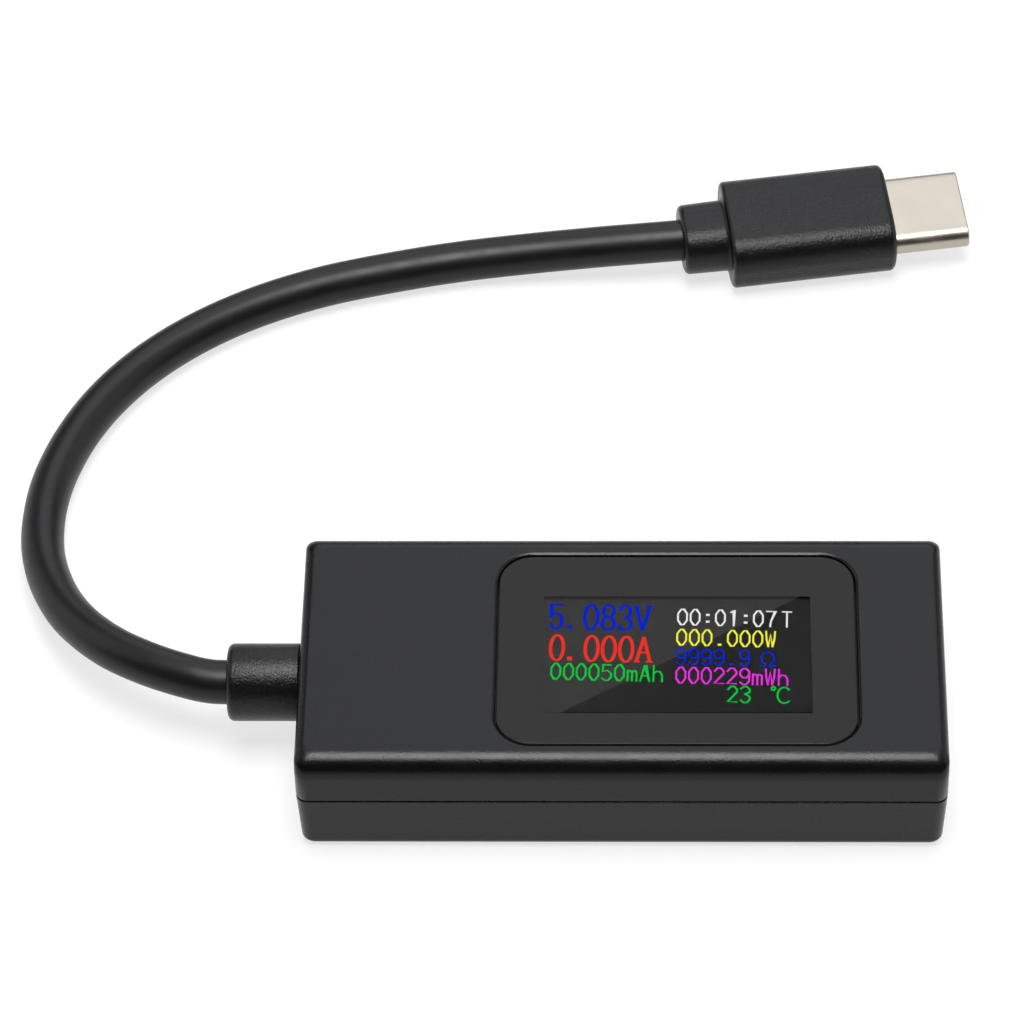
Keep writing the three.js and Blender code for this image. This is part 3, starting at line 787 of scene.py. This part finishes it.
LARGE_FONT = {
    "0": [arc(0.5, 0.5, 0.42, 0.5, 90, 450, 28)],
    "5": [[(0.88, 0.97), (0.16, 0.97), (0.12, 0.52)], arc(0.46, 0.31, 0.4, 0.31, 150, -130, 20),
          [(0.1, 0.2), (0.2, 0.14)]],
    "8": [arc(0.5, 0.745, 0.34, 0.255, 90, 450, 22), arc(0.5, 0.25, 0.4, 0.25, 90, 450, 22)],
    "3": [arc(0.46, 0.75, 0.34, 0.25, 150, -90, 18), arc(0.46, 0.25, 0.42, 0.25, 90, -150, 18),
          [(0.13, 0.84), (0.22, 0.8)], [(0.08, 0.17), (0.18, 0.2)]],
    ".": [[(0.13, 0.03), (0.33, 0.03)], [(0.11, 0.08), (0.35, 0.08)], [(0.13, 0.13), (0.33, 0.13)]],
    "V": [[(0.05, 0.97), (0.5, 0.02)], [(0.5, 0.02), (0.95, 0.97)], [(-0.05, 0.98), (0.25, 0.98)],
          [(0.75, 0.98), (1.06, 0.98)]],
    "A": [[(0.06, 0.03), (0.5, 0.98)], [(0.5, 0.98), (0.94, 0.03)], [(0.24, 0.38), (0.76, 0.38)],
          [(-0.06, 0.02), (0.24, 0.02)], [(0.72, 0.02), (1.08, 0.02)]],
}


def ribbon(bm, points, thin, thick, z0, z1):
    """A flat stroke, as wide as thick where it runs up and as thin where it runs across."""
    count = len(points)
    lefts = []
    rights = []
    for i, point in enumerate(points):
        before = points[max(i - 1, 0)]
        after = points[min(i + 1, count - 1)]
        run = (after - before).normalized()
        width = thin + (thick - thin) * abs(run.y)
        first = (point - before).normalized() if i else run
        bend = max(0.5, abs(run.dot(first)))
        side = Vector((-run.y, run.x)) * width / 2 / bend
        reach = Vector((0.0, 0.0))
        if i == 0:
            reach = -run * thin * 0.4
        if i == count - 1:
            reach = run * thin * 0.4
        lefts.append(point + side + reach)
        rights.append(point - side + reach)
    rows = []
    for left, right in zip(lefts, rights):
        corners = ((left, z1), (right, z1), (right, z0), (left, z0))
        rows.append([bm.verts.new((p.x, p.y, z)) for p, z in corners])
    for near, far in zip(rows, rows[1:]):
        for i in range(4):
            j = (i + 1) % 4
            bm.faces.new((near[i], near[j], far[j], far[i]))
    bm.faces.new(rows[0])
    bm.faces.new(reversed(rows[-1]))


def add_line(name, text, style, left, foot, material):
    """One line of the readout, its strokes standing just proud of the display panel."""
    z0 = DISPLAY_TOP + 0.004
    z1 = z0 + 0.012
    tilt = Matrix.Rotation(READOUT_TILT, 2)
    pivot = Vector((SCREEN_X, READOUT_Y))
    bm = bmesh.new()
    for index, character in enumerate(text):
        start = left + index * style["pitch"]
        for stroke in style["font"].get(character, []):
            points = []
            for x, y in stroke:
                flat = Vector((start + x * style["width"], foot + y * style["height"]))
                points.append(pivot + tilt @ (flat - pivot))
            ribbon(bm, points, style["thin"], style["thick"], z0, z1)
    bmesh.ops.recalc_face_normals(bm, faces=bm.faces)
    return mount(make(name, bm, material), [])


def add_readout():
    """Nine coloured lines of numbers and units. A space has no strokes."""
    small = {
        "font": SMALL_FONT, "pitch": 1.1, "width": 0.78, "height": 1.77, "thin": 0.13, "thick": 0.16
    }
    large = {
        "font": LARGE_FONT, "pitch": 1.5, "width": 1.33, "height": 2.85, "thin": 0.16, "thick": 0.3
    }
    blue = lit_dots("dots_blue", srgb(8, 36, 205))
    red = lit_dots("dots_red", srgb(236, 52, 40))
    green = lit_dots("dots_green", srgb(4, 205, 60))
    white = lit_dots("dots_white", srgb(238, 238, 242))
    yellow = lit_dots("dots_yellow", srgb(248, 246, 70))
    magenta = lit_dots("dots_magenta", srgb(232, 48, 228))
    lines = [
        ("readout_voltage", "5.083V", large, -6.47, 2.0, blue),
        ("readout_current", "0.000A", large, -6.3, -1.58, red),
        ("readout_charge", "000050mAh", small, -6.02, -3.71, green),
        ("readout_time", "00:01:07T", small, 4.75, 2.79, white),
        ("readout_power", "000.000W", small, 4.74, 0.48, yellow),
        ("readout_resistance", "9999.9 O", small, 4.72, -1.71, blue),
        ("readout_energy", "000229mWh", small, 4.78, -3.81, magenta),
        ("readout_temperature", "23", small, 9.27, -5.84, green),
        ("readout_unit", "C", small, 13.45, -5.74, green),
    ]
    for line in lines:
        add_line(*line)


# Lead


def catmull_rom(points, steps):
    """A smooth line through points, with the given number of steps between each two."""
    ends = [2 * points[0] - points[1], *points, 2 * points[-1] - points[-2]]
    line = []
    for a, b, c, d in zip(ends, ends[1:], ends[2:], ends[3:]):
        for step in range(steps):
            t = step / steps
            square = 2 * a - 5 * b + 4 * c - d
            cube = 3 * b - a - 3 * c + d
            line.append(0.5 * (2 * b + (c - a) * t + square * t**2 + cube * t**3))
    line.append(points[-1])
    return line


def add_cord(material):
    """The lead's jacket, from inside the strain relief's bore to inside the plug's collar."""
    hidden = 0.9
    points = [Vector(p) for p in CORD_ROUTE]
    into_case = Vector((1.0, 0.0, 0.0))
    into_plug = Vector((math.cos(PLUG_YAW), math.sin(PLUG_YAW), 0.0))
    points = [points[0] + into_case * hidden, *points, points[-1] + into_plug * hidden]
    line = catmull_rom(points, 6)
    data = bpy.data.curves.new("lead_jacket", "CURVE")
    data.dimensions = "3D"
    data.bevel_depth = CORD_RADIUS * MM
    data.bevel_resolution = 10
    data.use_fill_caps = True
    data.resolution_u = 1
    data.materials.append(material)
    spline = data.splines.new("POLY")
    spline.points.add(len(line) - 1)
    for target, point in zip(spline.points, line):
        target.co = (*(point * MM), 1.0)
    spline.use_smooth = True
    cord = bpy.data.objects.new("lead_jacket", data)
    scene.collection.objects.link(cord)
    mount(cord, ["cord"])
    length = sum((b - a).length for a, b in zip(line, line[1:])) * MM
    return cord, length


def add_strain_relief(material):
    """A grained sleeve with rounded ends, a bore for the lead and a neck through the case wall."""
    low, high = cad_box("strain_relief")
    outer = low.x
    wall_outside = -END_X - 0.12
    wall_inside = -END_X + WALL + 0.15
    edge = 0.6
    bore = CORD_RADIUS + 0.06
    bore_depth = 3.0
    lip = 0.12
    rear = 0.15
    neck = 2.2
    flange = 3.1
    profile = [(outer + bore_depth, 0), (outer + bore_depth, bore)]
    for sine, cosine in quarter(4):
        profile.append((outer + lip * (1 - sine), bore + lip * (1 - cosine)))
    for sine, cosine in quarter(8):
        profile.append((outer + edge * (1 - cosine), RELIEF_RADIUS - edge * (1 - sine)))
    for sine, cosine in quarter(4):
        profile.append((wall_outside - rear * (1 - sine), RELIEF_RADIUS - rear * (1 - cosine)))
    profile += [(wall_outside, neck), (wall_inside, neck)]
    profile += [(wall_inside, flange), (high.x, flange), (high.x, 0)]
    sleeve = place(turned(profile, 72), Matrix.Translation((0, 0, PARTING)))
    return mount(make("relief_sleeve", sleeve, material), ["strain_relief"])


# Plug, along its own +X from its rear face, about its own axis


def plug_place():
    turn = Matrix.Rotation(PLUG_YAW, 4, "Z") @ Matrix.Rotation(PLUG_ROLL, 4, "X")
    return Matrix.Translation((PLUG_X, PLUG_Y, PLUG_Z)) @ turn


def add_overmold(material):
    """A short collar round the lead, flaring into a flat grip with rounded edges."""
    collar_y, collar_z = 3.4, 2.65
    collar_radius = 2.55
    collar_swell = 0.1
    grip_y, grip_z = GRIP_WIDTH / 2, GRIP_THICKNESS / 2
    rear_edge = 0.5
    flare = 0.35
    shoulder_edge = 0.4
    front_edge = 0.6
    shell_clearance = 0.03

    def ring(x, half_y, half_z, radius):
        return upright_ring(rounded_ring(half_y, half_z, radius, 12), x)

    rings = []
    for sine, cosine in quarter(6):
        draw = rear_edge * (1 - sine)
        x = rear_edge * (1 - cosine)
        rings.append(ring(x, collar_y - draw, collar_z - draw, collar_radius - draw))
    for sine, cosine in quarter(5):
        grow = flare * (1 - cosine)
        x = COLLAR_LENGTH - flare * (1 - sine)
        half_y = collar_y + collar_swell + grow
        half_z = min(collar_z + collar_swell / 2 + grow, grip_z - 0.06)
        rings.append(ring(x, half_y, half_z, collar_radius + collar_swell))
    for sine, cosine in quarter(6):
        draw = shoulder_edge * (1 - sine)
        x = COLLAR_LENGTH + shoulder_edge * (1 - cosine)
        rings.append(ring(x, grip_y - draw, grip_z - draw, GRIP_RADIUS - draw * 0.6))
    for sine, cosine in quarter(8):
        draw = front_edge * (1 - cosine)
        x = GRIP_FRONT - front_edge * (1 - sine)
        rings.append(ring(x, grip_y - draw, grip_z - draw, GRIP_RADIUS - draw * 0.4))
    grip = make("plug_grip", place(lofted(rings), plug_place()), material)

    def shell_slot(x):
        half_y = PLUG_SHELL_WIDTH / 2 + shell_clearance
        half_z = PLUG_SHELL_HEIGHT / 2 + shell_clearance
        return ring(x, half_y, half_z, half_z)

    def lead_bore(x):
        reach = CORD_RADIUS + 0.05
        return upright_ring(rounded_ring(reach, reach, reach, 10), x)

    pocket = lofted([shell_slot(GRIP_FRONT - 4), shell_slot(GRIP_FRONT + 1)])
    bore = lofted([lead_bore(-1), lead_bore(1.6)])
    carve(grip, [place(pocket, plug_place()), place(bore, plug_place())])
    weight_normals(grip)
    return mount(grip, ["plug_overmold"])


def tube_rings(x_rear, x_mouth, half_y, half_z, floor_x, ring):
    """Rings of a drawn metal tube from its rear, over its rounded lip, and back in to floor_x."""
    steps = 8
    soft = TUBE_WALL / 2
    rings = [ring(x_rear, half_y, half_z)]
    for i in range(steps + 1):
        a = i / steps * math.pi
        x = x_mouth - soft + soft * math.sin(a)
        draw = soft * (1 - math.cos(a))
        rings.append(ring(x, half_y - draw, half_z - draw))
    rings.append(ring(floor_x, half_y - TUBE_WALL, half_z - TUBE_WALL))
    return rings


def add_plug_shell(material):
    def ring(x, half_y, half_z):
        return upright_ring(rounded_ring(half_y, half_z, half_z, 12), x)

    half_y, half_z = PLUG_SHELL_WIDTH / 2, PLUG_SHELL_HEIGHT / 2
    rings = tube_rings(GRIP_FRONT - 3.9, PLUG_TIP, half_y, half_z, GRIP_FRONT - 3.0, ring)
    shell = make("plug_tube", place(lofted(rings), plug_place()), material)
    weight_normals(shell)
    return mount(shell, ["plug_shell"])


# Socket and button


def add_socket(material):
    low, high = cad_box("receptacle_shell")

    def ring(x, half_y, half_z):
        return upright_ring(rounded_ring(half_y, half_z, half_z, 12, 0.0, PARTING), x)

    rings = tube_rings(low.x, high.x, SOCKET_WIDTH / 2, SOCKET_HEIGHT / 2, low.x + 0.4, ring)
    shell = make("socket_tube", lofted(rings), material)
    weight_normals(shell)
    return mount(shell, ["receptacle_shell"])


def add_button(material):
    """A cap with rounded edges and a shallow dish, on a flange that keeps it in the case."""
    low, high = cad_box("button_cap")
    centre_x = button_centre()
    radius = 1.2
    edge = 0.35
    dish = 0.12

    def ring(y, draw):
        half_x = BUTTON_LENGTH / 2 - draw
        half_z = BUTTON_HEIGHT / 2 - draw
        return side_ring(
            rounded_ring(half_x, half_z, radius - draw * 0.8, 8, centre_x, PARTING), y
        )

    rings = [ring(low.y + 0.5, 0.0)]
    rings += [ring(high.y - edge * (1 - sine), edge * (1 - cosine)) for sine, cosine in quarter(6)]
    rings.append(ring(high.y, edge + 0.12))
    rings.append(ring(high.y - dish, edge + 0.5))
    rings.append(ring(high.y - dish - 0.03, edge + 0.9))
    cap = make("button_dome", lofted(rings), material)
    flange = rounded_ring(3.6, 2.0, 1.4, 8, centre_x, PARTING)
    carve(cap, [lofted([side_ring(flange, low.y), side_ring(flange, low.y + 0.7)])], "UNION")
    weight_normals(cap)
    return mount(cap, ["button_cap"], "button")


# CAD nodes that keep their shape and get a finish


def dress_frame_nodes():
    black = moulded("connector_black", grey(0.008), grey(0.014), 0.45)
    gold = moulded(
        "contact_gold", (0.72, 0.48, 0.16, 1), (0.8, 0.56, 0.22, 1), 0.25, 0.1, 0.001, Metallic=1.0
    )
    epoxy = moulded("chip_epoxy", grey(0.012), grey(0.02), 0.5, 0.1, 0.004)
    board = circuit_board()
    ceramic = moulded("ceramic_body", srgb(150, 116, 80), srgb(178, 142, 100), 0.5)
    tin = nickel("part_tin", 0.62, (1.0, 0.98, 0.95), 0.3)
    finishes = {
        "receptacle_housing": black,
        "plug_insulator": black,
        "switch_plunger": black,
        "receptacle_contacts_upper": gold,
        "receptacle_contacts_lower": gold,
        "plug_contacts_upper": gold,
        "plug_contacts_lower": gold,
        "microcontroller": epoxy,
        "memory_chip": epoxy,
        "voltage_regulator": epoxy,
        "input_switch_chip": epoxy,
        "switch_body": epoxy,
        "main_board": board,
        "plug_board": board,
        "input_capacitor": ceramic,
        "output_capacitor": ceramic,
        "temperature_sensor": ceramic,
        "crystal": tin,
        "window_adhesive": moulded("adhesive_tape", grey(0.006), grey(0.01), 0.7),
        "lcd_backlight": moulded("backlight_tray", srgb(226, 226, 220), srgb(238, 238, 234), 0.45),
        "lcd_flex": moulded("flex_circuit", srgb(150, 84, 26), srgb(186, 112, 40), 0.35),
        "foam_pad": moulded("black_foam", grey(0.01), grey(0.03), 0.9, 0.2, 0.05),
        "shunt_resistor": moulded("resistor_metal", grey(0.02), grey(0.03), 0.35),
        "inductor": moulded("ferrite", grey(0.04), grey(0.06), 0.6),
        "wire_white": moulded("wire_white", srgb(218, 218, 212), srgb(236, 236, 230), 0.45),
        "wire_green": moulded("wire_green", srgb(34, 112, 54), srgb(44, 138, 66), 0.45),
        "wire_red": moulded("wire_red", srgb(160, 26, 26), srgb(190, 38, 34), 0.45),
        "wire_blue": moulded("wire_blue", srgb(30, 66, 140), srgb(42, 86, 170), 0.45),
        "wire_black": moulded("wire_black", grey(0.008), grey(0.015), 0.45),
    }
    for name, material in finishes.items():
        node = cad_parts[name]
        node.data.materials.clear()
        node.data.materials.append(material)


# Studio


def area_light(name, place_at, aim_at, size_x, size_y, radiance, tint=(1.0, 1.0, 1.0)):
    """A panel of even radiance, facing a point. Places and sizes are in metres."""
    data = bpy.data.lights.new(name, "AREA")
    data.shape = "RECTANGLE"
    data.size = size_x
    data.size_y = size_y
    data.energy = radiance * math.pi * size_x * size_y
    data.color = tint
    light = bpy.data.objects.new(name, data)
    light.location = place_at
    direction = Vector(aim_at) - Vector(place_at)
    light.rotation_euler = direction.to_track_quat("-Z", "Y").to_euler()
    light.visible_camera = False
    scene.collection.objects.link(light)


def add_studio():
    bm = bmesh.new()
    bmesh.ops.create_grid(bm, x_segments=8, y_segments=8, size=1500)
    surface = Surface("studio_floor")
    surface.colour(surface.blend(surface.noise(400.0), grey(0.25), grey(0.27)))
    surface.shader.inputs["Roughness"].default_value = 0.9
    surface.shader.inputs["Specular IOR Level"].default_value = 0.1
    surface.shader.inputs["Emission Color"].default_value = (1.0, 1.0, 1.0, 1.0)
    surface.shader.inputs["Emission Strength"].default_value = 0.72
    floor = make("studio_floor", bm, surface.material)
    area_light("key_softbox", (0.0, -0.045, 0.64), (0, -0.01, 0), 0.28, 0.35, 14.8)
    area_light("rear_panel", (0.1, 0.85, 0.85), (0, 0, 0), 0.9, 1.3, 1.58, (0.965, 0.99, 1.05))
    for side in (-1, 1):
        area_light(f"side_panel_{side}", (side * 0.8, 0.25, 0.45), (0, 0, 0), 0.9, 0.8, 1.05)
    world = bpy.data.worlds.new("studio_world")
    world.use_nodes = True
    background = world.node_tree.nodes["Background"]
    background.inputs["Color"].default_value = (1.0, 1.0, 1.0, 1.0)
    background.inputs["Strength"].default_value = 0.02
    scene.world = world
    scene.view_settings.view_transform = "Standard"


def main():
    add_camera()
    rubber = grained_rubber()
    cord, cord_length = add_cord(cord_jacket())
    relief = add_strain_relief(rubber)
    grip = add_overmold(rubber)
    tube = add_plug_shell(nickel("plug_nickel", 0.45, (1.0, 0.91, 0.78), 0.28))
    plastic = case_plastic()
    add_top_shell(plastic)
    add_bottom_shell(plastic)
    add_window(lens_clear(), window_ink())
    add_panel(display_glass())
    add_readout()
    add_socket(nickel("socket_nickel", 0.6, (1.0, 0.98, 0.94), 0.3))
    add_button(plastic)
    dress_frame_nodes()
    add_studio()


main()
